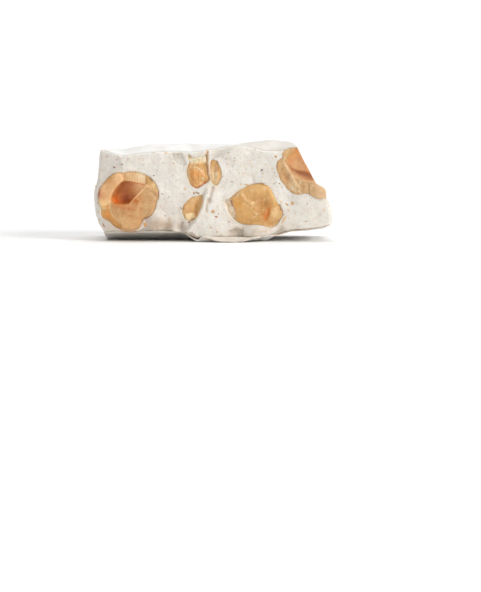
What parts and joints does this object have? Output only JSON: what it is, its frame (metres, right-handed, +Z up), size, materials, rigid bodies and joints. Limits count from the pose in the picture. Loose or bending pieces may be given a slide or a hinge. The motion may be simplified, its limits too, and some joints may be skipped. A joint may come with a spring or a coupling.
{
  "type": "nougat slice",
  "caption": "Broken slice of white nougat set with roasted hazelnut kernels, between two thin edible wafer sheets.",
  "frame": {"origin": "middle of the footprint on the surface the slice rests on", "axes": "+X along the long broken face, -Y out of the broken face that the picture shows, +Z up through the thickness"},
  "size_m": [0.0564, 0.033, 0.0245],
  "materials": {
    "nougat": "whipped white nougat, brittle, slightly waxy and grainy where it is broken",
    "wafer": "edible wafer sheet, white, matt, stuck down over the nougat",
    "hazelnut": "roasted hazelnut kernel, cut or broken through, oily satin"
  },
  "bodies": {
    "root": {"nougat": "nougat", "wafer_top": "wafer", "wafer_bottom": "wafer", "nut_front_left": "hazelnut", "nut_front_mid": "hazelnut", "nut_front_sliver": "hazelnut", "nut_front_ledge": "hazelnut", "nut_front_right": "hazelnut", "nut_corner": "hazelnut", "nut_left_1": "hazelnut", "nut_left_2": "hazelnut", "nut_left_3": "hazelnut", "nut_right_1": "hazelnut", "nut_right_2": "hazelnut", "nut_right_3": "hazelnut", "nut_back_1": "hazelnut", "nut_back_2": "hazelnut", "nut_back_3": "hazelnut", "nut_back_4": "hazelnut", "nut_back_5": "hazelnut"}
  },
  "joints": []
}
